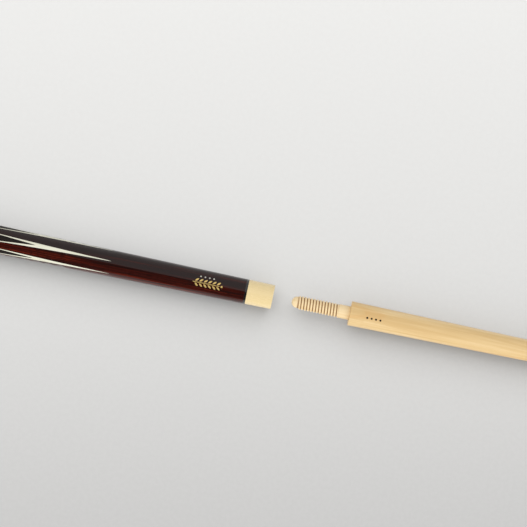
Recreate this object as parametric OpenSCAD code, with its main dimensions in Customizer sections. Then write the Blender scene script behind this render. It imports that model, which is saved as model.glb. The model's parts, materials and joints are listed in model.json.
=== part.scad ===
// A billiard cue in two halves: a butt with six inlaid points and a maple shaft with a wooden screw.
// The cue lies along X with its tip towards +X. The origin is the centre of the bumper's end face.
// Stations in this file count from the butt's joint face, and placed() moves them to the origin.
// The shaft is drawn unscrewed. It stands away from the butt by the turns that bring its row of
// dots into line with the butt's when it is screwed home. Every length is in millimetres.

/* [Cue] */
// Diameter where the two halves meet
joint_d = 21.5; // [20:0.5:23]
// Growth of the butt's diameter for each millimetre away from the joint
butt_taper = 0.015; // [0.013:0.001:0.016]
// Diameter of the cap at the thick end
cap_d = 32; // [31:0.5:34]
// Length of the shaft from its shoulder to the top of its leather tip
shaft_len = 691; // [660:1:720]
// Diameter of the shaft where its faster taper ends
shaft_mid_d = 17.2; // [16:0.1:18]
// Distance from the shoulder to the end of the faster taper
shaft_mid_at = 250; // [200:10:320]
// Diameter of the ferrule and the tip
tip_d = 12; // [11:0.5:13]

/* [Wooden screw] */
// Diameter of the screw over its thread and over its plain shank
pin_d = 12; // [11.5:0.1:12.4]
// Distance between neighbouring turns of the thread
pin_pitch = 2.64; // [2.5:0.02:2.8]
// Depth of the thread
thread_depth = 1.05; // [0.8:0.05:1.2]
// Whole turns of thread on the screw
pin_turns = 13; // [10:1:14]
// Length of the plain shank between the thread and the shoulder
shank_len = 10.4; // [8:0.2:12]
// Whole turns between the unscrewed position and the tight one
free_turns = 26; // [25:1:30]

/* [Butt] */
// Length of the pale collar
collar_len = 23; // [20:1:26]
// Length of the rosewood forearm behind the collar's black ring
forearm_len = 284; // [260:2:300]
// Length of the linen wrap
wrap_len = 300; // [260:10:320]
// Thickness of the linen wrap
wrap_t = 0.75; // [0.6:0.05:1]
// Length of the rosewood sleeve behind the wrap
sleeve_len = 60; // [50:2:80]
// Length of the black butt cap
cap_len = 18; // [16:1:24]
// Length of the rubber bumper
bumper_len = 9; // [8:0.5:12]

/* [Inlays] */
// Number of points round the forearm
point_count = 6; // [4:1:6]
// Distance from the joint face to the points' sharp ends
point_tip_at = 144; // [130:1:160]
// Length of each point's solid white tip, ahead of its black core
point_white_len = 68; // [50:1:80]
// Depth of the inlays
inlay_depth = 1.6; // [1:0.1:2]
// Number of dots in each row
dot_count = 4; // [1:1:5]
// Distance between neighbouring dots
dot_step = 3.9; // [3:0.1:5]
// Diameter of a dot in the forearm
butt_dot_d = 1.4; // [1:0.1:2]
// Diameter of a dot in the shaft
shaft_dot_d = 1.8; // [1:0.1:2]

/* [Hidden] */
$fn = 96;

// Gaps left by glue lines, and play between parts that turn or slide in each other
glue = 0.05;
inlay_glue = 0.03;
insert_glue = 0.12;
screw_play = 0.12;
bolt_play = 0.05;
ferrule_play = 0.03;
face_gap = 0.03;
end_gap = 0.2;

// Stations along the butt, from the joint face backwards
collar_back = -collar_len;
collar_ring_w = 2;
forearm_front = collar_back - collar_ring_w;
forearm_back = forearm_front - forearm_len;
upper_ring_w = [3, 2, 3];
wrap_front = forearm_back - upper_ring_w[0] - upper_ring_w[1] - upper_ring_w[2];
wrap_back = wrap_front - wrap_len;
lower_ring_w = [2, 2, 2];
sleeve_front = wrap_back - lower_ring_w[0] - lower_ring_w[1] - lower_ring_w[2];
sleeve_back = sleeve_front - sleeve_len;
sleeve_ring_w = 2;
cap_front = sleeve_back - sleeve_ring_w;
cap_back = cap_front - cap_len;
bumper_back = cap_back - bumper_len;

// Tenons and bores inside the butt
collar_tenon_r = 9;
socket_r = pin_d / 2 + 0.2;
socket_end = -shank_len - 0.2;
insert_r = 7.4;
insert_back = -54;
front_tenon_r = 9;
front_tenon_end = forearm_back + 22;
rear_tenon_r = 10.5;
rear_tenon_end = cap_front - 7;
stud_r = 4;
stud_reach = 40;
bush_r = 8;
bush_front = -645;
bush_back = cap_back + 4;
bolt_r = 5;
bolt_hole_r = bolt_r + 0.4;
relief_r = 5.6;
relief_front = -588;

// The weight bolt and the bumper's bolt share the brass bush
weight_front = -620;
weight_len = 60;
socket_hex_r = 3.2;
socket_hex_len = 6;
washer_seat = cap_back - 3;
bumper_bolt_front = bush_back + 12;
bolt_head_r = 6.6;
bolt_head_len = 3.2;
head_hex_len = 2.6;
washer_t = 1;
washer_r = 7.3;

// Stations along the shaft, from its shoulder forwards
tip_len = 6;
pad_t = 1;
ferrule_len = 14;
ferrule_back = shaft_len - tip_len - pad_t - ferrule_len;
tip_tenon_r = 4;
tip_tenon_len = 11.5;
pin_tail_r = 5.5;
pin_tail_len = 45;
pin_end = -52;

// Tools that cut the inlays start at the axis and reach well past the skin
cutter_h = 20;
cutter_past = 1;

// Points round the forearm: the angle of the first one from the top, the most that half a
// point's width grows to, and the least white that is left beside the black core
first_point_angle = 10;
point_most_half = 5.5;
core_border = 0.65;
leaf_steps = 12;

// How half the width of a white point and of its black core grows behind the sharp end: a blunt
// start over blunt_len, then a part that grows with the distance and one with its square
blunt_len = 3;
white_growth = [0.175, 0.02, 0.000118];
core_growth = [0.15, 0.081, 0];

// The sprig of leaves between the points and the collar
sprig_at = -58.1;
sprig_angle = -2;
sprig_depth = 0.5;
sprig_half_len = 13.4;
stem_half_w = 0.28;
bud_r = 0.95;
leaf_pairs = 6;
leaf_step = 3.9;
leaf_from = 2;
leaf_off = 0.75;
leaf_angle = 40;
leaf_len = 4.2;
leaf_w = 1.6;

// Rows of dots: their angles from the top, and where each row starts
butt_dot_angle = 27;
shaft_dot_angle = -4;
butt_dot_from = -53.4;
shaft_dot_from = 15.4;

// How far the unscrewed shaft stands back, and how far it is turned from its tight position
rest_turn = butt_dot_angle - shaft_dot_angle;
travel = (free_turns + rest_turn / 360) * pin_pitch;

// Shape of the thread over one pitch: [share of the pitch, share of the depth]
male_profile = [[0, 0], [0.1, 0], [0.3, 0.88], [0.4, 1], [0.68, 1], [0.78, 0.88]];
female_start = 0.27;
female_profile = [[0, 1], [0.54, 1], [0.76, 0], [0.8, 0]];
male_sides = 48;
female_sides = 40;
runout_turns = 0.6;

function butt_r(x) = joint_d / 2 - x * butt_taper / 2;

function shaft_r(x) = x < shaft_mid_at
    ? joint_d / 2 + (shaft_mid_d - joint_d) / 2 * x / shaft_mid_at
    : shaft_mid_d / 2 + (tip_d - shaft_mid_d) / 2 * (x - shaft_mid_at) / (ferrule_back - shaft_mid_at);

// Half the width of a white point, or of its black core, at a distance behind its sharp end
function leaf_half(s, core) =
    let (g = core ? core_growth : white_growth)
    let (most = core ? leaf_half(s + point_white_len, false) - core_border : point_most_half)
    min(g[0] * min(1, s / blunt_len) + g[1] * s + g[2] * s * s, most);

// ---------------------------------------------------------------- helpers

// A turned solid: the outline is a list of [x, radius]
module turned(outline) {
    rotate([0, 90, 0])
        rotate_extrude()
            polygon([for (p = outline) [p[1], p[0]]]);
}

// A tube along the butt from one station to another, whose outside follows the butt's taper
module butt_ring(front, back, bore_r) {
    turned([[front, bore_r], [front, butt_r(front)], [back, butt_r(back)], [back, bore_r]]);
}

// Turns its children about the cue, from the top (+Z) towards +Y
module at_angle(a) {
    rotate([-a, 0, 0]) children();
}

// Keeps what lies between two depths under the butt's surface
module under_butt_skin(front, back, deep, shallow) {
    intersection() {
        turned([
            [front, butt_r(front) - deep], [front, butt_r(front) - shallow],
            [back, butt_r(back) - shallow], [back, butt_r(back) - deep]
        ]);
        children();
    }
}

// Moves the butt's parts from the stations of this file to the origin
module placed() {
    translate([-bumper_back, 0, 0]) children();
}

// Moves the shaft's parts from their tight position to the unscrewed one
module unscrewed() {
    placed()
        translate([travel, 0, 0])
            rotate([rest_turn, 0, 0])
                children();
}

// ---------------------------------------------------------------- thread

// Points of one helical band. Row t holds the thread's outline at angle 360 * t / sides, and each
// row stands one sides-th of a pitch further on. The depth fades to nothing at both ends,
// so that the band's two edges lie on a plain round surface.
function fade(t, last, sides) =
    min(1, t / (runout_turns * sides), (last - t) / (runout_turns * sides));

function helix_point(t, share, r, z, pitch, sides) =
    [r * cos(360 * t / sides), r * sin(360 * t / sides), z + pitch * (t / sides + share)];

function band_points(profile, base_r, depth, from_z, pitch, turns, sides) =
    let (last = turns * sides, h0 = profile[0][1])
    concat(
        [for (t = [0:last], p = profile)
            helix_point(t, p[0], base_r + depth * (p[1] - h0) * fade(t, last, sides),
                        from_z, pitch, sides)],
        [for (t = [last - sides + 1:last]) helix_point(t, 1, base_r, from_z, pitch, sides)]
    );

function band_size(profile, turns, sides) = (turns * sides + 1) * len(profile) + sides;

// Index of outline point k in row t: the row's last point is the first one of the next turn
function at(t, k, rows, turns, sides) =
    k < rows ? t * rows + k
    : t + sides <= turns * sides ? (t + sides) * rows
    : (turns * sides + 1) * rows + t - (turns * sides - sides + 1);

// Triangles of the band, of the strip that joins its lower edge to the ring of points that
// starts at index low, and of the strip that joins its upper edge to the ring at index high
function band_faces(rows, turns, sides, low, high) =
    let (last = turns * sides)
    concat(
        [for (t = [0:last - 1], k = [0:rows - 1], half = [0, 1])
            let (a = at(t, k, rows, turns, sides), b = at(t, k + 1, rows, turns, sides),
                 c = at(t + 1, k + 1, rows, turns, sides), d = at(t + 1, k, rows, turns, sides))
            half == 0 ? [a, b, c] : [a, c, d]],
        [for (j = [0:sides - 1], half = [0, 1])
            let (a = low + j, b = low + (j + 1) % sides,
                 c = at(j + 1, 0, rows, turns, sides), d = at(j, 0, rows, turns, sides))
            if (j < sides - 1 || half == 0) half == 0 ? [a, d, c] : [a, c, b]],
        [for (k = [0:rows - 1])
            [low + sides - 1, at(0, k + 1, rows, turns, sides), at(0, k, rows, turns, sides)]],
        [[low + sides - 1, at(0, 0, rows, turns, sides), low]],
        [for (j = [0:sides - 1], half = [0, 1])
            let (a = at(last - sides + j, rows, rows, turns, sides),
                 b = at(last - sides + j + 1, rows, rows, turns, sides),
                 c = high + (j + 1) % sides, d = high + j)
            if (j > 0 || half == 1) half == 0 ? [a, d, c] : [j == 0 ? d : a, c, b]],
        [for (k = [0:rows - 1])
            [at(last - sides + 1, rows, rows, turns, sides), at(last, k, rows, turns, sides),
             at(last, k + 1, rows, turns, sides)]],
        [[at(last - sides + 1, rows, rows, turns, sides), at(last, rows, rows, turns, sides),
          high]]
    );

// Points of the rings that an outline of [z, radius] makes
function ring_points(outline, sides) =
    [for (p = outline, j = [0:sides - 1])
        [p[1] * cos(360 * j / sides), p[1] * sin(360 * j / sides), p[0]]];

// Triangles between the ring that starts at index lower and the one that starts at index upper
function strip(lower, upper, sides) =
    [for (j = [0:sides - 1], half = [0, 1])
        let (k = (j + 1) % sides)
        half == 0 ? [lower + j, upper + j, upper + k] : [lower + j, upper + k, lower + k]];

function ring_faces(first, count, sides) =
    [for (i = [0:1:count - 2], f = strip(first + i * sides, first + (i + 1) * sides, sides)) f];

// A turned solid with a helical band between two outlines of [z, radius]. A hollow one joins its
// last ring to its first; any other has flat ends.
module threaded(profile, base_r, depth, from_z, turns, sides, low, high, hollow) {
    low_at = band_size(profile, turns, sides);
    high_at = low_at + len(low) * sides;
    last_at = high_at + (len(high) - 1) * sides;
    points = concat(
        band_points(profile, base_r, depth, from_z, pin_pitch, turns, sides),
        ring_points(low, sides),
        ring_points(high, sides)
    );
    ends = hollow
        ? strip(last_at, low_at, sides)
        : [[for (j = [0:sides - 1]) low_at + j], [for (j = [sides - 1:-1:0]) last_at + j]];
    faces = concat(
        band_faces(len(profile), turns, sides, high_at - sides, high_at),
        ring_faces(low_at, len(low), sides),
        ring_faces(high_at, len(high), sides),
        ends
    );
    rotate([0, 90, 0])
        polyhedron(points, hollow ? [for (f = faces) [f[2], f[1], f[0]]] : faces, convexity = 20);
}

// ---------------------------------------------------------------- inlays

// Outline of a white point or its black core, made smaller all round by shrink
module leaf(core, shrink) {
    sharp_x = -point_tip_at - (core ? point_white_len : 0);
    growth = core ? core_growth : white_growth;
    first = shrink / (growth[0] / blunt_len + growth[1]);
    span = sharp_x - forearm_back - blunt_len;
    stations = [for (i = [0:leaf_steps]) blunt_len + span * i / leaf_steps];
    edge = [for (s = stations) [sharp_x - s, leaf_half(s, core) - shrink]];
    polygon(concat(
        [[sharp_x - first, 0]],
        edge,
        [for (i = [leaf_steps:-1:0]) [edge[i][0], -edge[i][1]]]
    ));
}

// Raises its children from the axis at every point's place round the forearm, and keeps what lies
// between two depths under the skin
module every_point(back, deep, shallow) {
    for (i = [0:point_count - 1])
        at_angle(first_point_angle + 360 / point_count * i)
            under_butt_skin(-point_tip_at + 2, back, deep, shallow)
                linear_extrude(cutter_h)
                    children();
}

// A leaf with two round edges, its sharp ends on the X axis
module small_leaf(grow) {
    edge_r = (pow(leaf_len, 2) + pow(leaf_w, 2)) / (4 * leaf_w);
    intersection_for (side = [-1, 1])
        translate([leaf_len / 2, side * (edge_r - leaf_w / 2)]) circle(edge_r + grow);
}

// A stem with a bud at its front end and pairs of leaves along it, larger all round by grow
module sprig(grow) {
    translate([sprig_at, 0]) {
        translate([-sprig_half_len - grow, -stem_half_w - grow])
            square([2 * sprig_half_len - 3 * bud_r + 2 * grow, 2 * (stem_half_w + grow)]);
        translate([sprig_half_len - bud_r, 0]) circle(bud_r + grow);
        for (i = [0:leaf_pairs - 1], side = [-1, 1])
            translate([leaf_step * i - sprig_half_len + leaf_from, side * leaf_off])
                rotate(side * leaf_angle)
                    small_leaf(grow);
    }
}

// The sprig between two depths under the butt's surface
module sprig_solid(deep, shallow, grow) {
    under_butt_skin(sprig_at + sprig_half_len + 1, sprig_at - sprig_half_len - 1, deep, shallow)
        at_angle(sprig_angle)
            linear_extrude(cutter_h)
                sprig(grow);
}

// A row of dots as upright rods that start at the axis
module dot_rods(from, step, angle, r) {
    at_angle(angle)
        for (i = [0:dot_count - 1])
            translate([from + step * i, 0, 0])
                cylinder(r = r, h = cutter_h);
}

// The forearm's dots between two depths under the butt's surface
module butt_dots(deep, shallow, grow) {
    under_butt_skin(butt_dot_from + dot_step, butt_dot_from - dot_step * dot_count, deep, shallow)
        dot_rods(butt_dot_from, -dot_step, butt_dot_angle, butt_dot_d / 2 + grow);
}

// ---------------------------------------------------------------- butt

module joint_collar() {
    color("#f1dca6")
        placed()
            turned([
                [0, socket_r], [0, joint_d / 2 - 0.25], [-0.25, joint_d / 2],
                [collar_back, butt_r(collar_back)], [collar_back, collar_tenon_r + glue],
                [socket_end, collar_tenon_r + glue], [socket_end, socket_r]
            ]);
}

module collar_ring() {
    color("#141210")
        placed()
            butt_ring(collar_back, forearm_front, collar_tenon_r + glue);
}

module thread_insert() {
    major_r = pin_d / 2 + screw_play;
    front = socket_end - 0.1;
    color("#9c7044")
        placed()
            threaded(
                female_profile, major_r, thread_depth,
                -shank_len - (pin_turns + 2 - female_start) * pin_pitch, pin_turns,
                female_sides, [[insert_back, insert_r], [insert_back, major_r]],
                [[front, major_r], [front, insert_r]], true
            );
}

module forearm() {
    tenon_front = socket_end - 0.1;
    color("#54241a")
        placed()
            difference() {
                turned([
                    [tenon_front, insert_r + insert_glue], [tenon_front, collar_tenon_r],
                    [forearm_front, collar_tenon_r], [forearm_front, butt_r(forearm_front)],
                    [forearm_back, butt_r(forearm_back)], [forearm_back, front_tenon_r + glue],
                    [front_tenon_end + end_gap, front_tenon_r + glue],
                    [front_tenon_end + end_gap, stud_r + glue],
                    [front_tenon_end + stud_reach + end_gap, stud_r + glue],
                    [front_tenon_end + stud_reach + end_gap, 0],
                    [insert_back - end_gap, 0], [insert_back - end_gap, insert_r + insert_glue]
                ]);
                every_point(forearm_back - cutter_past, inlay_depth, -cutter_past) pocket_outline();
                sprig_solid(sprig_depth, -cutter_past, 0);
                butt_dots(inlay_depth, -cutter_past, 0);
            }
}

// A point's outline drawn on past the end of the forearm, so that its pocket is open there
module pocket_outline() {
    leaf(false, 0);
    translate([forearm_back - 2 * cutter_past, -point_most_half])
        square([2 * cutter_past + 0.01, 2 * point_most_half]);
}

module point_veneers() {
    color("#e6e4d4")
        placed()
            every_point(forearm_back, inlay_depth - inlay_glue, 0)
                difference() {
                    leaf(false, inlay_glue);
                    leaf(true, -inlay_glue);
                }
}

module point_cores() {
    color("#120e0c")
        placed()
            every_point(forearm_back, inlay_depth - inlay_glue, 0)
                leaf(true, 0);
}

module emblem() {
    color("#c8a24a")
        placed()
            sprig_solid(sprig_depth - inlay_glue, 0, -inlay_glue);
}

module forearm_dots() {
    color("#f0ece0")
        placed()
            butt_dots(inlay_depth - inlay_glue, 0, -inlay_glue);
}

module a_joint_stud() {
    color("#a9abad")
        placed()
            turned([
                [front_tenon_end + stud_reach, 0], [front_tenon_end + stud_reach, stud_r - 0.8],
                [front_tenon_end + stud_reach - 0.8, stud_r],
                [front_tenon_end - stud_reach + 0.8, stud_r],
                [front_tenon_end - stud_reach, stud_r - 0.8], [front_tenon_end - stud_reach, 0]
            ]);
}

module upper_ring_front() {
    color("#141210")
        placed()
            butt_ring(forearm_back, forearm_back - upper_ring_w[0], front_tenon_r + glue);
}

module upper_ring_metal() {
    front = forearm_back - upper_ring_w[0];
    color("#c9cbcd")
        placed()
            butt_ring(front, front - upper_ring_w[1], front_tenon_r + glue);
}

module upper_ring_rear() {
    color("#141210")
        placed()
            butt_ring(wrap_front + upper_ring_w[2], wrap_front, front_tenon_r + glue);
}

module handle() {
    core_gap = wrap_t + glue;
    color("#d8b98a")
        placed()
            turned([
                [front_tenon_end, stud_r + glue], [front_tenon_end, front_tenon_r],
                [wrap_front, front_tenon_r], [wrap_front, butt_r(wrap_front) - core_gap],
                [wrap_back, butt_r(wrap_back) - core_gap], [wrap_back, rear_tenon_r],
                [rear_tenon_end, rear_tenon_r], [rear_tenon_end, bush_r + glue],
                [bush_front, bush_r + glue], [bush_front, relief_r], [relief_front, relief_r],
                [relief_front, 0], [front_tenon_end - stud_reach - end_gap, 0],
                [front_tenon_end - stud_reach - end_gap, stud_r + glue]
            ]);
}

module wrap() {
    color("#1c1d22")
        placed()
            turned([
                [wrap_front, butt_r(wrap_front) - wrap_t], [wrap_front, butt_r(wrap_front)],
                [wrap_back, butt_r(wrap_back)], [wrap_back, butt_r(wrap_back) - wrap_t]
            ]);
}

module lower_ring_front() {
    color("#141210")
        placed()
            butt_ring(wrap_back, wrap_back - lower_ring_w[0], rear_tenon_r + glue);
}

module lower_ring_metal() {
    front = wrap_back - lower_ring_w[0];
    color("#c9cbcd")
        placed()
            butt_ring(front, front - lower_ring_w[1], rear_tenon_r + glue);
}

module lower_ring_rear() {
    color("#141210")
        placed()
            butt_ring(sleeve_front + lower_ring_w[2], sleeve_front, rear_tenon_r + glue);
}

module butt_sleeve() {
    color("#54241a")
        placed()
            butt_ring(sleeve_front, sleeve_back, rear_tenon_r + glue);
}

module sleeve_ring() {
    color("#f1dca6")
        placed()
            butt_ring(sleeve_back, cap_front, rear_tenon_r + glue);
}

module butt_cap() {
    color("#171514")
        placed()
            turned([
                [cap_front, rear_tenon_r + glue], [cap_front, butt_r(cap_front)],
                [cap_back + 2, cap_d / 2], [cap_back + 0.5, cap_d / 2 - 0.2],
                [cap_back, cap_d / 2 - 0.7], [cap_back, bolt_hole_r],
                [bush_back - end_gap, bolt_hole_r], [bush_back - end_gap, bush_r + glue],
                [rear_tenon_end - end_gap, bush_r + glue],
                [rear_tenon_end - end_gap, rear_tenon_r + glue]
            ]);
}

module butt_bush() {
    color("#b08d45")
        placed()
            turned([
                [bush_front, bolt_r + bolt_play], [bush_front, bush_r], [bush_back, bush_r],
                [bush_back, bolt_r + bolt_play]
            ]);
}

// ---------------------------------------------------------------- bumper and bolts

module bumper() {
    outer_r = cap_d / 2 - 0.7;
    color("#1b1b1b")
        placed()
            turned([
                [cap_back, bolt_hole_r], [cap_back, outer_r - 0.3], [cap_back - 0.8, outer_r],
                [cap_back - 4, outer_r - 0.2], [cap_back - 6.6, outer_r - 1],
                [bumper_back + 0.8, outer_r - 2.2], [bumper_back, outer_r - 4],
                [bumper_back, washer_r + 1], [bumper_back + 0.7, washer_r + 0.3],
                [washer_seat, washer_r + 0.3], [washer_seat, bolt_hole_r]
            ]);
}

module bumper_washer() {
    color("#b9bbbd")
        placed()
            turned([
                [washer_seat, bolt_r + bolt_play], [washer_seat, washer_r],
                [washer_seat - washer_t, washer_r], [washer_seat - washer_t, bolt_r + bolt_play]
            ]);
}

// A hexagonal hole along X
module hex_socket(from, to, across_corners_r) {
    translate([from, 0, 0])
        rotate([0, 90, 0])
            cylinder(r = across_corners_r, h = to - from, $fn = 6);
}

module bumper_bolt() {
    seat = washer_seat - washer_t;
    color("#8f9194")
        placed()
            difference() {
                turned([
                    [bumper_bolt_front, 0], [bumper_bolt_front, bolt_r - 0.9],
                    [bumper_bolt_front - 0.9, bolt_r], [seat - face_gap, bolt_r],
                    [seat - face_gap, bolt_head_r], [seat - bolt_head_len + 0.5, bolt_head_r],
                    [seat - bolt_head_len, bolt_head_r - 0.5], [seat - bolt_head_len, 0]
                ]);
                hex_socket(seat - bolt_head_len - 1, seat - bolt_head_len + head_hex_len, socket_hex_r);
            }
}

module weight_bolt() {
    back = weight_front - weight_len;
    color("#8f9194")
        placed()
            difference() {
                turned([
                    [weight_front, 0], [weight_front, bolt_r - 1], [weight_front - 1, bolt_r],
                    [back + 1, bolt_r], [back, bolt_r - 1], [back, 0]
                ]);
                hex_socket(back - 1, back + socket_hex_len, socket_hex_r);
            }
}

// ---------------------------------------------------------------- shaft

module shaft() {
    color("#e6c894")
        unscrewed()
            difference() {
                turned([
                    [face_gap, pin_tail_r + glue], [face_gap, joint_d / 2 - 0.25],
                    [face_gap + 0.25, joint_d / 2], [shaft_mid_at, shaft_mid_d / 2],
                    [ferrule_back, tip_d / 2], [ferrule_back, tip_tenon_r],
                    [ferrule_back + tip_tenon_len, tip_tenon_r],
                    [ferrule_back + tip_tenon_len, 0], [pin_tail_len + end_gap, 0],
                    [pin_tail_len + end_gap, pin_tail_r + glue]
                ]);
                shaft_dot_shell(inlay_depth, -cutter_past) shaft_dot_rods(0);
            }
}

// In the tight position, which unscrewed() starts from, the dots are in line with the butt's
module shaft_dot_rods(grow) {
    dot_rods(shaft_dot_from, dot_step, butt_dot_angle, shaft_dot_d / 2 + grow);
}

// Keeps what lies between two depths under the shaft's surface, along its row of dots
module shaft_dot_shell(deep, shallow) {
    front = shaft_dot_from - 5;
    back = shaft_dot_from + dot_step * dot_count;
    intersection() {
        turned([
            [front, shaft_r(front) - deep], [front, shaft_r(front) - shallow],
            [back, shaft_r(back) - shallow], [back, shaft_r(back) - deep]
        ]);
        children();
    }
}

// The screw's nose is a quarter of an ellipse from pin_end to just behind the thread
module joint_pin() {
    root_r = pin_d / 2 - thread_depth;
    thread_back = -shank_len - (pin_turns + 1) * pin_pitch;
    nose_front = thread_back - 0.1;
    color("#d9b27c")
        unscrewed()
            threaded(
                male_profile, root_r, thread_depth, thread_back, pin_turns, male_sides,
                [
                    for (a = [12:13:90])
                        [nose_front + (pin_end - nose_front) * cos(a), root_r * sin(a)]
                ],
                [
                    [-shank_len + 0.1, root_r], [-shank_len + 0.5, pin_d / 2 - 0.1],
                    [-shank_len + 0.8, pin_d / 2], [0.01, pin_d / 2], [0.01, pin_tail_r],
                    [pin_tail_len, pin_tail_r]
                ],
                false
            );
}

module shaft_dots() {
    color("#181412")
        unscrewed()
            shaft_dot_shell(inlay_depth - inlay_glue, 0) shaft_dot_rods(-inlay_glue);
}

module ferrule() {
    front = ferrule_back + ferrule_len;
    color("#f2efe6")
        unscrewed()
            turned([
                [ferrule_back + face_gap, tip_tenon_r + ferrule_play],
                [ferrule_back + face_gap, tip_d / 2], [front, tip_d / 2], [front, 0],
                [ferrule_back + tip_tenon_len + 0.1, 0],
                [ferrule_back + tip_tenon_len + 0.1, tip_tenon_r + ferrule_play]
            ]);
}

module tip_pad() {
    back = ferrule_back + ferrule_len;
    color("#26221f")
        unscrewed()
            turned([[back, 0], [back, tip_d / 2], [back + pad_t, tip_d / 2], [back + pad_t, 0]]);
}

module cue_tip() {
    back = shaft_len - tip_len;
    edge_r = tip_d / 2;
    dome_r = 10.6;
    edge_angle = asin(edge_r / dome_r);
    color("#4a6b86")
        unscrewed()
            turned(concat(
                [[back, 0], [back, edge_r]],
                [for (i = [8:-1:0])
                    let (a = edge_angle * i / 8)
                    [shaft_len - dome_r + dome_r * cos(a), dome_r * sin(a)]]
            ));
}

// ---------------------------------------------------------------- drawing

joint_collar();
collar_ring();
thread_insert();
forearm();
point_veneers();
point_cores();
forearm_dots();
emblem();
a_joint_stud();
upper_ring_front();
upper_ring_metal();
upper_ring_rear();
handle();
wrap();
lower_ring_front();
lower_ring_metal();
lower_ring_rear();
butt_sleeve();
sleeve_ring();
butt_cap();
butt_bush();
bumper();
bumper_washer();
bumper_bolt();
weight_bolt();
shaft();
joint_pin();
shaft_dots();
ferrule();
tip_pad();
cue_tip();
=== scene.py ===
import json
import math
import bmesh
import bpy
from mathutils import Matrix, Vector


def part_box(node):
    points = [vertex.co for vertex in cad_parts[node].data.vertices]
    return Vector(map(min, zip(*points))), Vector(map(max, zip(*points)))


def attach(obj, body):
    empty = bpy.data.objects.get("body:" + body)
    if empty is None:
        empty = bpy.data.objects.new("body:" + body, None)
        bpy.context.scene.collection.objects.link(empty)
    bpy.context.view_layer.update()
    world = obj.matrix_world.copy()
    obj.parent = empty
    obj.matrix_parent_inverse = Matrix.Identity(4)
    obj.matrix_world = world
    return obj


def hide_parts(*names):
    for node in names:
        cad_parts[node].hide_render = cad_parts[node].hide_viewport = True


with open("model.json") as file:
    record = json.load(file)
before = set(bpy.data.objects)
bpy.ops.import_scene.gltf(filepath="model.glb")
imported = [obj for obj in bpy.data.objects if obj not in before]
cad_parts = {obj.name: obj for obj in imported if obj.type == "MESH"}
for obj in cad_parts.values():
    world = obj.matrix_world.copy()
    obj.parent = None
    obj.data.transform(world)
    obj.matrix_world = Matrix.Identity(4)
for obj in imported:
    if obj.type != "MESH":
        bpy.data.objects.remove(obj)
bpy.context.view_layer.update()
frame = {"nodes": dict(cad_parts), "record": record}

nodes = frame["nodes"]
record = frame["record"]

MM = 0.001
ROLL = math.radians(11.81)          # how far the cue's axis slopes down to the right of the picture


# ------------------------------------------------------------------ small tools for materials

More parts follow.
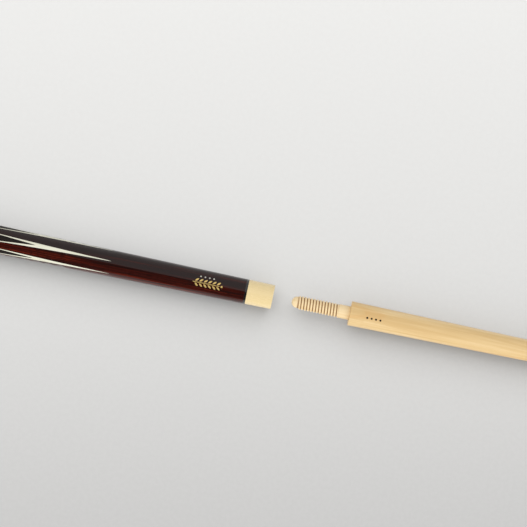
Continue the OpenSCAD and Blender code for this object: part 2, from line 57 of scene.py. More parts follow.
class Mat:
    """A principled material with a few short ways to add procedural nodes."""

    def __init__(self, name, on_axis=True):
        self.m = bpy.data.materials.new(name)
        self.m.use_nodes = True
        self.on_axis = on_axis
        self.t = self.m.node_tree
        self.bsdf = next(n for n in self.t.nodes if n.type == "BSDF_PRINCIPLED")
        self.co = self.t.nodes.new("ShaderNodeTexCoord").outputs["Object"]

    def link(self, a, b):
        """Give input b the number, the colour or the output a."""
        if isinstance(a, (int, float)):
            b.default_value = a
        elif isinstance(a, (tuple, list)):
            b.default_value = (*a, 1.0) if len(a) == 3 and len(b.default_value) == 4 else a
        else:
            self.t.links.new(a, b)

    def set(self, **values):
        """Set the shader's inputs, with _ for a space in an input's name."""
        for key, value in values.items():
            self.link(value, self.bsdf.inputs[key.replace("_", " ")])

    def stretch(self, x, y, z, offset=(0, 0, 0)):
        """The place on the object, in units of 1/x, 1/y and 1/z metres."""
        n = self.t.nodes.new("ShaderNodeMapping")
        n.inputs["Scale"].default_value = (x, y, z)
        n.inputs["Location"].default_value = offset
        self.link(self.co, n.inputs["Vector"])
        return n.outputs["Vector"]

    def noise(self, vec, detail, rough, distortion=0.0):
        """Noise with features about one unit of vec in size."""
        n = self.t.nodes.new("ShaderNodeTexNoise")
        self.link(vec, n.inputs["Vector"])
        n.inputs["Scale"].default_value = 1.0
        n.inputs["Detail"].default_value = detail
        n.inputs["Roughness"].default_value = rough
        n.inputs["Distortion"].default_value = distortion
        return n.outputs["Fac"]

    def math(self, op, a, b=0.0):
        n = self.t.nodes.new("ShaderNodeMath")
        n.operation = op
        self.link(a, n.inputs[0])
        self.link(b, n.inputs[1])
        return n.outputs[0]

    def times(self, a, b):
        return self.math("MULTIPLY", a, b)

    def plus(self, a, b):
        return self.math("ADD", a, b)

    def xyz(self, vec=None):
        n = self.t.nodes.new("ShaderNodeSeparateXYZ")
        self.link(vec or self.co, n.inputs[0])
        return n.outputs[0], n.outputs[1], n.outputs[2]

    def vector(self, x, y, z):
        n = self.t.nodes.new("ShaderNodeCombineXYZ")
        for value, socket in zip((x, y, z), n.inputs):
            self.link(value, socket)
        return n.outputs[0]

    def range(self, value, a, b, c=0.0, d=1.0, smooth=True):
        """c where value is a, d where it is b, and a step in between."""
        n = self.t.nodes.new("ShaderNodeMapRange")
        n.interpolation_type = "SMOOTHSTEP" if smooth else "LINEAR"
        for v, socket in zip((value, a, b, c, d), n.inputs):
            self.link(v, socket)
        return n.outputs[0]

    def ramp(self, fac, *stops):
        """A colour ramp with stops of (position, colour)."""
        n = self.t.nodes.new("ShaderNodeValToRGB")
        e = n.color_ramp.elements
        while len(e) < len(stops):
            e.new(0.5)
        for k, (pos, col) in zip(e, stops):
            k.position = pos
            k.color = (*col, 1.0)
        self.link(fac, n.inputs[0])
        return n.outputs["Color"]

    def mix(self, fac, a, b):
        n = self.t.nodes.new("ShaderNodeMix")
        n.data_type = "RGBA"
        self.link(fac, n.inputs[0])
        self.link(a, n.inputs[6])
        self.link(b, n.inputs[7])
        return n.outputs[2]

    def vmath(self, op, a, b=(0.0, 0.0, 0.0), scale=1.0):
        n = self.t.nodes.new("ShaderNodeVectorMath")
        n.operation = op
        self.link(a, n.inputs[0])
        self.link(b, n.inputs[1])
        if op == "SCALE":
            self.link(scale, n.inputs["Scale"])
        return n.outputs["Value"] if op == "DOT_PRODUCT" else n.outputs["Vector"]

    def round_normal(self):
        """The normal, made exactly radial wherever the surface is turned about the cue's axis."""
        _, y, z = self.xyz()
        to_world = self.t.nodes.new("ShaderNodeVectorTransform")
        to_world.vector_type = "NORMAL"
        to_world.convert_from, to_world.convert_to = "OBJECT", "WORLD"
        self.link(self.vector(0.0, y, z), to_world.inputs[0])
        radial = self.vmath("NORMALIZE", to_world.outputs[0])
        normal = self.t.nodes.new("ShaderNodeNewGeometry").outputs["Normal"]
        agree = self.vmath("DOT_PRODUCT", normal, radial)
        radial = self.vmath("SCALE", radial, scale=self.math("SIGN", agree))
        # surfaces more than about 15 degrees from radial, such as end faces, keep their own normal
        share = self.range(self.math("ABSOLUTE", agree), 0.965, 0.985)
        turn = self.vmath("SCALE", self.vmath("SUBTRACT", radial, normal), scale=share)
        return self.vmath("NORMALIZE", self.vmath("ADD", normal, turn))

    def bump(self, height, distance, strength=1.0, coat=False):
        n = self.t.nodes.new("ShaderNodeBump")
        if self.on_axis:
            self.link(self.round_normal(), n.inputs["Normal"])
        n.inputs["Distance"].default_value = distance
        n.inputs["Strength"].default_value = strength
        self.link(height, n.inputs["Height"])
        self.link(n.outputs[0], self.bsdf.inputs["Coat Normal" if coat else "Normal"])

    def radius(self):
        """Distance from the cue's axis, in metres."""
        _, y, z = self.xyz()
        return self.math("SQRT", self.plus(self.times(y, y), self.times(z, z)))


def lacquer(m, rough, ior, coat=1.0, wear=0.02):
    """A clear top coat with faint polishing waves, and fine rub marks in its gloss."""
    marks = m.noise(m.stretch(60, 900, 900), 4.0, 0.6)
    waves = m.noise(m.stretch(14, 70, 70), 1.5, 0.4)
    m.set(Coat_Weight=coat, Coat_IOR=ior, Coat_Roughness=m.range(marks, 0.35, 0.8, rough, rough + wear))
    m.bump(waves, 0.04 * MM, 0.5, coat=True)
    return m


# ------------------------------------------------------------------ materials, one for each finish

def rosewood():
    """Red-brown streaks along the cue between near-black ones, with fine dark pores, under a high gloss."""
    m = Mat("rosewood")
    x, y, z = m.xyz()
    # growth layers run nearly along the cue, and wander a little
    wander = m.noise(m.stretch(3.2, 26, 26), 2.0, 0.5)
    layer = m.plus(m.times(z, 0.55), m.times(y, 0.95))
    layer = m.plus(layer, m.times(wander, 11 * MM))
    bands = m.noise(m.vector(m.times(x, 1.1), m.times(layer, 330), 0.0), 4.0, 0.62)
    streak = m.noise(m.stretch(11, 560, 560, (3, 1, 2)), 4.0, 0.65)
    pores = m.noise(m.stretch(170, 3000, 3000), 2.0, 0.5)
    tone = m.plus(m.times(bands, 0.56), m.times(streak, 0.44))
    # painted shade: the base is darker and its streaks quieter on the far (+Y) side, under the mirrored
    # screen
    tone = m.math("SUBTRACT", tone, m.range(y, -2 * MM, 4 * MM, 0.0, 0.15))
    wood = m.ramp(tone, (0.33, (0.0110, 0.0030, 0.0026)), (0.43, (0.0150, 0.0026, 0.0018)),
                  (0.50, (0.042, 0.0038, 0.0014)), (0.57, (0.098, 0.0100, 0.0032)),
                  (0.66, (0.185, 0.033, 0.0100)))
    wood = m.mix(m.range(pores, 0.60, 0.68), wood, (0.004, 0.0014, 0.0009))
    m.set(Base_Color=wood, Roughness=m.range(streak, 0.3, 0.7, 0.5, 0.36), Specular_IOR_Level=0.04)
    m.bump(m.math("SUBTRACT", streak, m.range(pores, 0.6, 0.68)), 0.02 * MM, 0.4)
    return lacquer(m, rough=0.03, ior=1.38)


def maple(name, light, mid, dark, line=0.5, coat=0.25, on_axis=True):
    """Pale wood with soft growth lines, fibres and short flecks, under a satin coat."""
    m = Mat(name, on_axis)
    x, y, z = m.xyz()
    wander = m.noise(m.stretch(2.4, 20, 20, (1, 4, 2)), 2.0, 0.5)
    # flat growth layers that dip along the cue, so that they come out as long narrow arches on top
    layer = m.plus(m.math("SUBTRACT", z, m.times(x, 0.055)), m.times(y, 0.25))
    layer = m.plus(layer, m.times(wander, 6 * MM))
    rings = m.noise(m.vector(m.times(layer, 300), 0.3, 0.0), 1.5, 0.5)
    edge = m.range(rings, 0.55, 0.60)
    edge = m.times(edge, m.range(rings, 0.70, 0.60))
    fibre = m.noise(m.stretch(13, 480, 480), 4.0, 0.6)
    fleck = m.noise(m.stretch(420, 1900, 1900, (2, 0, 5)), 2.0, 0.5)
    broad = m.noise(m.stretch(9, 140, 140, (7, 3, 1)), 2.0, 0.5, 0.3)
    wood = m.ramp(m.plus(m.times(fibre, 0.5), m.times(broad, 0.5)),
                  (0.38, dark), (0.5, mid), (0.60, light))
    wood = m.mix(m.times(edge, line), wood, (dark[0], 0.78 * dark[1], 0.50 * dark[2]))
    wood = m.mix(m.times(m.range(fleck, 0.62, 0.72), 0.35), wood, dark)
    m.set(Base_Color=wood, Roughness=m.range(fibre, 0.3, 0.7, 0.42, 0.52), Specular_IOR_Level=0.4)
    m.bump(m.plus(fibre, m.times(fleck, 0.5)), 0.02 * MM, 0.35)
    return lacquer(m, rough=0.16, ior=1.45, coat=coat, wear=0.08)


def screw_maple(root_r, crest_r, start, end):
    """Maple with painted shade, a darker brown, on the floor of the thread's groove."""
    m = maple("maple_screw", (0.88, 0.70, 0.43), (0.84, 0.645, 0.37), (0.76, 0.55, 0.28), 0.3, 0.1,
              on_axis=False)
    old = m.bsdf.inputs["Base Color"].links[0].from_socket
    x = m.xyz()[0]
    # painted shade: the floor of the thread is a darker brown; it is also rougher than the crests
    groove_floor = m.range(m.radius(), root_r + 0.12 * MM, crest_r - 0.22 * MM, 1.0, 0.0)
    groove_floor = m.times(groove_floor, m.range(x, start, start + 1.5 * MM))
    groove_floor = m.times(groove_floor, m.range(x, end, end - 0.8 * MM))
    m.set(Base_Color=m.mix(groove_floor, old, (0.34, 0.180, 0.070)), Roughness=m.range(groove_floor, 0.0, 1.0, 0.45, 0.75))
    return m


def ebony():
    """Near-black wood with fine streaks. Its coat is thin, so that it stays darker than the rosewood."""
    m = Mat("ebony")
    streak = m.noise(m.stretch(12, 600, 600), 4.0, 0.6)
    pores = m.noise(m.stretch(240, 3600, 3600), 2.0, 0.5)
    m.set(Base_Color=m.ramp(streak, (0.35, (0.004, 0.0035, 0.003)), (0.68, (0.016, 0.012, 0.009))),
          Roughness=0.45, Specular_IOR_Level=0.1)
    m.bump(m.plus(streak, pores), 0.02 * MM, 0.3)
    return lacquer(m, rough=0.035, ior=1.38, coat=0.15)


def veneer():
    """Dyed white veneer with fine fibres along the cue."""
    m = Mat("white_veneer")
    fibre = m.noise(m.stretch(26, 1100, 1100), 4.0, 0.6)
    white = m.ramp(fibre, (0.3, (0.60, 0.59, 0.45)), (0.55, (0.74, 0.73, 0.60)), (0.75, (0.80, 0.79, 0.68)))
    m.set(Base_Color=white, Roughness=0.5, Specular_IOR_Level=0.3)
    m.bump(fibre, 0.02 * MM, 0.3)
    return lacquer(m, rough=0.04, ior=1.38)


def resin(name, base, vary, rough, coat, scale=30):
    """Polished cast resin or phenolic: cloudy colour, fine turning marks and scuffs."""
    m = Mat(name)
    cloud = m.noise(m.stretch(scale, scale * 2, scale * 2), 3.0, 0.5)
    turned = m.noise(m.stretch(5200, 40, 40), 2.0, 0.5)
    scuff = m.noise(m.stretch(220, 900, 900), 5.0, 0.65)
    m.set(Base_Color=m.ramp(cloud, (0.3, vary), (0.7, base)),
          Roughness=m.range(scuff, 0.45, 0.8, rough, rough + 0.14), Specular_IOR_Level=min(0.5, coat))
    m.bump(m.plus(m.times(turned, 0.5), m.range(scuff, 0.7, 0.85, 0.0, -0.6)), 0.012 * MM, 0.4)
    return lacquer(m, rough=0.07, ior=1.42, coat=coat, wear=0.05)


def chalked_ferrule(front):
    """White resin with blue chalk smeared on it near the tip."""
    m = resin("ferrule_white", (0.82, 0.80, 0.72), (0.78, 0.76, 0.67), 0.25, 0.4)
    old = m.bsdf.inputs["Base Color"].links[0].from_socket
    x = m.xyz()[0]
    smear = m.noise(m.stretch(160, 420, 420, (4, 4, 1)), 4.0, 0.65)
    trace = m.times(m.range(smear, 0.42, 0.75, 0.0, 0.5), m.range(x, front - 9 * MM, front - 1 * MM))
    m.set(Base_Color=m.mix(trace, old, (0.22, 0.42, 0.52)))
    return m


def phenolic():
    """Brown laminate: thin sheets of cloth in resin."""
    m = Mat("brown_phenolic")
    x, y, z = m.xyz()
    sheet = m.noise(m.vector(m.times(x, 40), m.times(y, 2600), m.times(z, 300)), 2.0, 0.5)
    m.set(Base_Color=m.ramp(sheet, (0.35, (0.10, 0.042, 0.018)), (0.65, (0.26, 0.125, 0.055))),
          Roughness=m.range(sheet, 0.3, 0.7, 0.45, 0.62))
    m.bump(sheet, 0.03 * MM, 0.5)
    return m


def metal(name, colour, rough, turned, age, share=1.0):
    """Turned or plated metal: fine rings round the cue, with dull patches."""
    m = Mat(name)
    rings = m.noise(m.stretch(*((9000, 30, 30) if turned else (400, 400, 400))), 3.0, 0.6)
    dull = m.noise(m.stretch(160, 160, 160), 4.0, 0.6)
    m.set(Base_Color=m.mix(m.range(dull, 0.45, 0.8, 0.0, 0.5), colour, age), Metallic=share,
          Roughness=m.plus(m.range(dull, 0.35, 0.75, rough, rough + 0.16), m.times(rings, 0.05)))
    m.bump(rings, 0.01 * MM, 0.5)
    return m


def linen():
    """Dark cord with light flecks, a little worn."""
    m = Mat("linen", on_axis=False)
    x, y, z = m.xyz()
    angle = m.math("ARCTAN2", y, z)
    fibres = m.noise(m.vector(m.times(x, 5200), m.times(angle, 26), 0.0), 3.0, 0.6)
    # light threads in the cord come up as short dashes round the handle
    fleck = m.noise(m.vector(m.times(x, 2600), m.times(angle, 8), 3.0), 1.0, 0.5)
    worn = m.noise(m.stretch(12, 40, 40), 3.0, 0.6)
    dark = m.ramp(fibres, (0.3, (0.005, 0.0054, 0.0065)), (0.7, (0.020, 0.021, 0.025)))
    dark = m.mix(m.range(fleck, 0.62, 0.70), dark, (0.12, 0.12, 0.125))
    m.set(Base_Color=m.mix(m.range(worn, 0.5, 0.8, 0.0, 0.35), dark, (0.030, 0.029, 0.031)),
          Roughness=m.range(fibres, 0.3, 0.7, 0.58, 0.78), Sheen_Weight=0.12, Sheen_Roughness=0.4,
          Specular_IOR_Level=0.3)
    m.bump(fibres, 0.06 * MM, 0.7)
    return m


def rubber():
    """Matt black rubber with dust."""
    m = Mat("rubber", on_axis=False)
    grain = m.noise(m.stretch(1400, 1400, 1400), 3.0, 0.6)
    dust = m.noise(m.stretch(90, 90, 90), 5.0, 0.65)
    m.set(Base_Color=m.mix(m.range(dust, 0.5, 0.8, 0.0, 0.4), (0.012, 0.012, 0.0125), (0.06, 0.058, 0.055)),
          Roughness=m.range(dust, 0.4, 0.8, 0.55, 0.8), Specular_IOR_Level=0.35)
    m.bump(grain, 0.05 * MM, 0.5)
    return m


def fibre_pad():
    """Dark pressed fibre in layers."""
    m = Mat("fibre")
    layers = m.noise(m.stretch(9000, 60, 60), 2.0, 0.5)
    m.set(Base_Color=m.ramp(layers, (0.35, (0.012, 0.010, 0.009)), (0.65, (0.040, 0.033, 0.028))),
          Roughness=m.range(layers, 0.3, 0.7, 0.5, 0.7))
    m.bump(layers, 0.03 * MM, 0.5)
    return m


def tip_leather(side_r):
    """Layered brown leather with blue chalk on top."""
    m = Mat("leather", on_axis=False)
    grain = m.noise(m.stretch(1500, 1500, 1500), 4.0, 0.65)
    layers = m.noise(m.stretch(3600, 120, 120), 2.0, 0.5)
    chalk = m.noise(m.stretch(500, 500, 500), 4.0, 0.7)
    side = m.ramp(layers, (0.35, (0.10, 0.052, 0.026)), (0.65, (0.22, 0.125, 0.065)))
    top = m.mix(m.range(chalk, 0.35, 0.65), (0.060, 0.155, 0.240), (0.105, 0.250, 0.360))
    # chalk covers the dome, fades at the shoulder and leaves the burnished side brown
    cover = m.range(m.radius(), side_r - 0.45 * MM, side_r - 0.1 * MM, 1.0, 0.0)
    m.set(Base_Color=m.mix(cover, side, top), Roughness=m.range(cover, 0.0, 1.0, 0.5, 0.92))
    m.bump(m.plus(grain, m.times(layers, 0.6)), 0.08 * MM, 0.7)
    return m


# The wooden screw: its radii, the number of turns, its plain shank, the ends of its thread, and the angle in
# degrees at which the thread starts
pin_lo, pin_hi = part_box("joint_pin")
pin_r = pin_hi.y
thread_depth = 1.05 * MM
root_r = pin_r - thread_depth
ratio = next(c["ratio"] for c in record["behaviour"]["couplings"] if c["joint"] == "shaft_turn")
pitch = 2 * math.pi / ratio
turns = 13
shank = 10.4 * MM
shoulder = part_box("shaft")[0].x
butt_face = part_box("joint_collar")[1].x
thread_end = shoulder - shank
thread_start = thread_end - (turns + 1) * pitch
nose_len = thread_start - pin_lo.x
lead = math.degrees((shoulder - butt_face) / pitch * 2 * math.pi) % 360

finish = {
    "rosewood": rosewood(),
    "maple": maple("maple", (0.79, 0.585, 0.31), (0.735, 0.522, 0.25), (0.67, 0.455, 0.20), line=0.3),
    "maple_screw": screw_maple(root_r, pin_r, thread_start, thread_end),
    "handle_maple": maple("handle_maple", (0.62, 0.43, 0.22), (0.56, 0.38, 0.18), (0.48, 0.31, 0.14)),
    "ebony": ebony(),
    "white_veneer": veneer(),
    "cream_resin": resin("cream_resin", (0.80, 0.64, 0.345), (0.765, 0.60, 0.31), 0.25, 0.7),
    "black_phenolic": resin("black_phenolic", (0.010, 0.009, 0.008), (0.006, 0.0055, 0.005), 0.25, 0.8),
    "brown_phenolic": phenolic(),
    "dot_white": resin("dot_white", (0.56, 0.54, 0.48), (0.48, 0.46, 0.40), 0.25, 0.8, 300),
    "dot_black": resin("dot_black", (0.009, 0.007, 0.006), (0.005, 0.004, 0.0035), 0.5, 0.0, 300),
    "gilt": metal("gilt", (0.62, 0.44, 0.14), 0.36, False, (0.48, 0.33, 0.10), 0.25),
    "silver": metal("silver", (0.70, 0.71, 0.72), 0.18, True, (0.52, 0.52, 0.51)),
    "brass": metal("brass", (0.60, 0.42, 0.16), 0.24, True, (0.38, 0.25, 0.10)),
    "steel": metal("steel", (0.46, 0.47, 0.48), 0.28, True, (0.36, 0.37, 0.38)),
    "linen": linen(),
    "rubber": rubber(),
    "ferrule_white": chalked_ferrule(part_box("ferrule")[1].x),
    "fibre": fibre_pad(),
    "leather": tip_leather(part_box("cue_tip")[1].y),
}

for entry in record["subparts"]:
    o = nodes[entry["node"]]
    mat = finish[entry["material_slot"]].m
    if o.material_slots:
        for s in o.material_slots:
            s.material = mat
    else:
        o.data.materials.append(mat)


# ------------------------------------------------------------------ new pieces, finer than their CAD solids

def add_piece(name, outside, body, slot, stands_for):
    """Put in a piece for the CAD node that it stands for. Its outside is (points, faces)."""
    verts, faces = outside
    mesh = bpy.data.meshes.new(name)
    mesh.from_pydata(verts, [], faces)
    # rings that shrink to a point on the axis become one vertex
    work = bmesh.new()
    work.from_mesh(mesh)
    bmesh.ops.remove_doubles(work, verts=work.verts, dist=0.002 * MM)
    bmesh.ops.recalc_face_normals(work, faces=work.faces)
    work.to_mesh(mesh)
    work.free()
    for p in mesh.polygons:
        p.use_smooth = True
    mesh.materials.append(finish[slot].m)
    o = bpy.data.objects.new(name, mesh)
    bpy.context.scene.collection.objects.link(o)
    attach(o, body)
    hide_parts(stands_for)


def skin(rings):
    """Points and faces of a skin through rings of (x, radius). A ring has one entry for each angle round the
    axis, from +Z towards +Y. The rings run once round a hollow solid, or from axis to axis."""
    count, sides = len(rings), len(rings[0])
    verts = []
    for ring in rings:
        for j, (x, r) in enumerate(ring):
            a = 2 * math.pi * j / sides
            verts.append((x, r * math.sin(a), r * math.cos(a)))
    hollow = rings[0][0][1] > 0
    faces = []
    for i in range(count if hollow else count - 1):
        this, following = i * sides, (i + 1) % count * sides
        for j in range(sides):
            k = (j + 1) % sides
            faces.append((this + j, this + k, following + k, following + j))
    return verts, faces


def turned(outline):
    """Points and faces of a solid turned about the cue's axis from an outline of (x, radius)."""
    sides = 96
    return skin([[point] * sides for point in outline])


def arc(cx, cr, radius, a0, a1, steps):
    """Points on an arc in the plane of (x, radius): centre, radius, and angles in degrees from +X."""
    return [(cx + radius * math.cos(math.radians(a0 + (a1 - a0) * i / steps)),
             cr + radius * math.sin(math.radians(a0 + (a1 - a0) * i / steps))) for i in range(steps + 1)]


def smooth(a, b, v):
    """0 below a, 1 above b, and a soft step between them."""
    t = min(1.0, max(0.0, (v - a) / (b - a)))
    return t * t * (3 - 2 * t)


def thread_height(share):
    """Height of the thread over its root, 0 to 1, at a share of one pitch."""
    share %= 1.0
    if share < 0.70:
        return smooth(0.07, 0.33, share)
    return 1.0 - smooth(0.72, 0.985, share)


def screw_radius(x, angle):
    """Radius of the screw at x, for an angle in degrees that grows from -Z towards +Y, as the thread does."""
    turn = ((angle - lead) % 360) / 360
    share = (x - thread_start) / pitch - turn
    # the thread rises over a little more than half a turn at its start, and falls as fast at its end
    run_out, last = (-0.05, 0.55), turns + 0.88
    fade = smooth(*run_out, share) * smooth(*run_out, last - share)
    thread = root_r + thread_depth * thread_height(share) * fade
    if x < thread_start + 0.4 * MM:
        t = min(1.0, max(0.0, (x - pin_lo.x) / nose_len))
        return min(thread, root_r * math.sqrt(1 - (1 - t) ** 2) + thread_depth * fade)
    if x > thread_end - 0.35 * MM:
        rise = smooth(thread_end - 0.3 * MM, thread_end + 0.55 * MM, x)
        return max(thread, root_r + thread_depth * rise)
    return thread


def wood_screw():
    """A round nose, a rounded thread with a short run-out at both ends, and a plain shank up to the shaft."""
    sides, step = 108, 0.165 * MM
    xs = [thread_start - nose_len * math.cos(math.radians(a)) for a in range(5, 90, 5)]
    while xs[-1] < thread_end + 1.0 * MM:
        xs.append(xs[-1] + step)
    xs += [xs[-1] + 3 * MM, shoulder - 0.25 * MM]
    rings = [[(pin_lo.x, 0.0)] * sides]
    for x in xs:
        rings.append([(x, screw_radius(x, 180 - 360 * j / sides)) for j in range(sides)])
    # the part glued into the shaft is a little thinner, and starts just below the shaft's end face
    tail_r = pin_r - 0.55 * MM
    rim = (shoulder - 0.03 * MM, pin_r - 0.1 * MM)
    for point in (rim, (shoulder - 0.02 * MM, tail_r), (pin_hi.x, tail_r), (pin_hi.x, 0.0)):
        rings.append([point] * sides)
    add_piece("wood_screw", skin(rings), "shaft", "maple_screw", "joint_pin")


def linen_wrap():
    """Cord wound side by side, pressed and sealed, so that its ridges are low."""
    lo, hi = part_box("wrap")
    length = hi.x - lo.x
    taper = (hi.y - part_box("upper_ring_rear")[1].y) / length
    cord, groove, sunk, thick = 0.75 * MM, 0.16 * MM, 0.02 * MM, 0.7 * MM
    ridge_shape = 0.6                # below 1 gives broad ridges with narrow grooves
    sides, steps = 48, 5             # round the cue, and along it for each turn of the cord
    fade = 1.5 * steps               # the grooves fade out in the first and the last turn and a half
    count = int(length / cord) * steps
    rings = []
    for i in range(count + 1):
        x = lo.x + length * i / count
        top = hi.y - taper * (x - lo.x) - sunk
        depth = groove * min(1.0, i / fade, (count - i) / fade)
        ring = []
        for j in range(sides):
            ridge = math.sin(math.pi * ((i / steps - j / sides) % 1.0)) ** ridge_shape
            ring.append((x, top - depth * (1 - ridge)))
        rings.append(ring)
    for x in (hi.x, lo.x):
        rings.append([(x, hi.y - taper * (x - lo.x) - thick)] * sides)
    add_piece("linen_wrap", skin(rings), "butt", "linen", "wrap")


def leather_tip():
    """A domed top, a slightly swollen edge, and the seams of its pressed layers round the side."""
    lo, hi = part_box("cue_tip")
    r = hi.y
    dome_r, dome_steps = 10.6 * MM, 14
    layers, seam, seam_half = 6, 0.07 * MM, 0.06 * MM
    edge = math.degrees(math.asin((r - 0.25 * MM) / dome_r))
    side_end = hi.x - dome_r + dome_r * math.cos(math.radians(edge)) - 0.2 * MM
    outline = [(lo.x, 0), (lo.x, r - 0.12 * MM), (lo.x + 0.1 * MM, r - 0.02 * MM)]
    for i in range(1, layers):
        x = lo.x + (side_end - lo.x) * i / layers
        outline += [(x - seam_half, r), (x, r - seam), (x + seam_half, r)]
    outline += [(side_end, r), (side_end + 0.12 * MM, r - 0.08 * MM)]
    outline += arc(hi.x - dome_r, 0.0, dome_r, edge, 0, dome_steps)
    add_piece("leather_tip", turned(outline), "tip_end", "leather", "cue_tip")


def rubber_bumper():
    """Moulded rubber with rounded edges, and two shallow rings in its end face."""
    lo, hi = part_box("bumper")
    r, hole, bolt = hi.y, 7.6 * MM, 5.4 * MM
    seat = hi.x - 3 * MM
    front_edge, back_edge, hole_edge = 0.7 * MM, 3.4 * MM, 0.6 * MM
    ring_depth = 0.3 * MM
    outline = [(hi.x, bolt), (hi.x, r - 0.9 * MM)]
    outline += arc(hi.x - front_edge, r - front_edge, front_edge, 60, 100, 4)
    outline += [(hi.x - 2.6 * MM, r), (hi.x - 4.0 * MM, r - 0.12 * MM)]
    outline += arc(lo.x + back_edge, r - back_edge - 0.2 * MM, back_edge, 96, 180, 12)
    for ring in (10.6 * MM, 9.4 * MM):
        for x, off in ((0.0, 0.28), (ring_depth, 0.08), (ring_depth, -0.08), (0.0, -0.28)):
            outline.append((lo.x + x, ring + off * MM))
    outline.append((lo.x, hole + 0.7 * MM))
    outline += arc(lo.x + hole_edge, hole + hole_edge, hole_edge, 180, 270, 5)
    outline += [(seat, hole), (seat, bolt)]
    add_piece("rubber_bumper", turned(outline), "bumper_end", "rubber", "bumper")


wood_screw()
linen_wrap()
leather_tip()
rubber_bumper()


# ------------------------------------------------------------------ CAD solids: smooth shading

for o in nodes.values():
    if o.hide_render:
        continue
    for p in o.data.polygons:
        p.use_smooth = True
    o.data.set_sharp_from_angle(angle=math.radians(32))


# ------------------------------------------------------------------ camera, straight above the joint

LENS, SENSOR = 135.0, 36.0          # millimetres
VIEW_WIDTH = 462.5 * MM             # what the picture spans at the cue
distance = LENS / SENSOR * VIEW_WIDTH
right = Vector((math.cos(ROLL), math.sin(ROLL), 0.0))
up = Vector((-math.sin(ROLL), math.cos(ROLL), 0.0))
aim = Vector((butt_face, 0.0, 0.0)) - right * (8.2 * MM) + up * (29.5 * MM)
cam_data = bpy.data.cameras.new("camera")
cam_data.lens = LENS
cam_data.sensor_width = SENSOR
cam_data.clip_end = 60.0
cam = bpy.data.objects.new("camera", cam_data)
cam.location = aim + Vector((0.0, 0.0, distance))
cam.rotation_euler = (0.0, 0.0, ROLL)
bpy.context.scene.collection.objects.link(cam)
bpy.context.scene.camera = cam


# ------------------------------------------------------------------ floor and light

FLOOR_Z = -16.4 * MM                # just under the butt cap

# Strengths, and the angles in degrees from overhead over which they change, from -Y to +Y
SCREEN, SCREEN_EDGE = (0.004, 0.80), (-4, 1)        # what a polished surface mirrors: dark, then a screen
LOW_STRIP, STRIP_EDGE = (0.12, 0.0), (-86, -78)     # and a strip low down on the dark side
EVEN, EVEN_SPAN = (1.52, 0.80), (-70, 70)           # the even sky that lights everything else
SUN_ENERGY, SUN_WIDTH, SUN_TILT = 5.4, math.radians(74), math.radians(-31)


def floor():
    mesh = bpy.data.meshes.new("floor")
    half = 12.0
    corners = [(-half, -half, 0), (half, -half, 0), (half, half, 0), (-half, half, 0)]
    mesh.from_pydata(corners, [], [(0, 1, 2, 3)])
    m = Mat("floor", on_axis=False)
    x, y, _ = m.xyz()
    # painted light and shade: seen from straight above, the sheet is a little darker towards the front and
    # lighter towards the back, as the light falls off
    along = m.plus(m.times(m.math("SUBTRACT", x, aim.x), up.x),
                   m.times(m.math("SUBTRACT", y, aim.y), up.y))
    reach = 0.24
    painted_falloff = m.range(along, -reach, reach, -0.5, 0.5, smooth=False)
    facing = m.xyz(m.t.nodes.new("ShaderNodeNewGeometry").outputs["Incoming"])[2]
    tone = m.plus(m.times(painted_falloff, m.range(facing, 0.80, 0.96)), 0.5)
    front, middle, back = (0.206, 0.205, 0.203), (0.263, 0.262, 0.259), (0.296, 0.295, 0.291)
    colour = m.ramp(tone, (0.0, front), (0.5, middle), (1.0, back))
    grain = m.noise(m.stretch(260, 260, 260), 3.0, 0.6)
    colour = m.mix(m.range(grain, 0.3, 0.7, 0.0, 0.02), colour, (0.5, 0.5, 0.5))
    # a little light of its own keeps the shadow soft where the cue almost touches the sheet
    m.set(Base_Color=colour, Roughness=0.9, Specular_IOR_Level=0.0)
    m.set(Emission_Color=colour, Emission_Strength=0.28)
    mesh.materials.append(m.m)
    o = bpy.data.objects.new("floor", mesh)
    o.location = (0, 0, FLOOR_Z)
    bpy.context.scene.collection.objects.link(o)


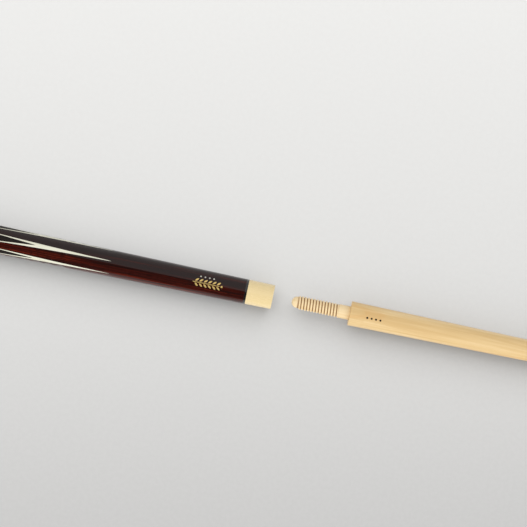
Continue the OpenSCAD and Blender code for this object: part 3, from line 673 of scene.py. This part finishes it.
def studio():
    """A soft studio. Polished surfaces mirror one broad screen that ends in a sharp edge overhead, and a low
    strip opposite; everything else is lit by an even sky, a little stronger on the side of the strip."""
    world = bpy.data.worlds.new("studio")
    bpy.context.scene.world = world
    world.use_nodes = True
    t = world.node_tree
    t.nodes.clear()

    def new(kind, *values):
        n = t.nodes.new(kind)
        for v, socket in zip(values, n.inputs):
            if isinstance(v, (int, float)):
                socket.default_value = v
            elif v is not None:
                t.links.new(v, socket)
        return n

    co = t.nodes.new("ShaderNodeTexCoord").outputs["Generated"]
    sep = new("ShaderNodeSeparateXYZ", co)
    ang = new("ShaderNodeMath", sep.outputs[1], sep.outputs[2])
    ang.operation = "ARCTAN2"

    def step(strengths, angles):
        n = new("ShaderNodeMapRange", ang.outputs[0], *(math.radians(a) for a in angles), *strengths)
        n.interpolation_type = "SMOOTHSTEP"
        return n.outputs[0]

    def light(strength, colour=(1.0, 0.995, 0.985)):
        n = new("ShaderNodeBackground", None, strength)
        n.inputs[0].default_value = (*colour, 1.0)
        return n.outputs[0]

    mirrored = new("ShaderNodeMath", step(SCREEN, SCREEN_EDGE), step(LOW_STRIP, STRIP_EDGE))
    mirrored.operation = "ADD"
    path = t.nodes.new("ShaderNodeLightPath")
    sky = new("ShaderNodeMixShader", path.outputs["Is Glossy Ray"], light(step(EVEN, EVEN_SPAN)),
              light(mirrored.outputs[0]))
    both = new("ShaderNodeMixShader", path.outputs["Is Camera Ray"], sky.outputs[0],
               light(1.0, (0.80, 0.795, 0.785)))
    out = t.nodes.new("ShaderNodeOutputWorld")
    t.links.new(both.outputs[0], out.inputs[0])


def soft_sun():
    """Soft light from overhead, on the floor alone, so that the shadow is faint and falls forward."""
    data = bpy.data.lights.new("soft_sun", "SUN")
    data.angle = SUN_WIDTH
    data.energy = SUN_ENERGY
    lamp = bpy.data.objects.new("soft_sun", data)
    lamp.rotation_euler = (SUN_TILT, 0.0, ROLL)
    lamp.visible_glossy = False
    bpy.context.scene.collection.objects.link(lamp)
    lit = bpy.data.collections.new("lit_by_sun")
    lit.objects.link(bpy.data.objects["floor"])
    lamp.light_linking.receiver_collection = lit


floor()
studio()
soft_sun()

bpy.context.scene.view_settings.view_transform = "Standard"
bpy.context.scene.view_settings.look = "None"
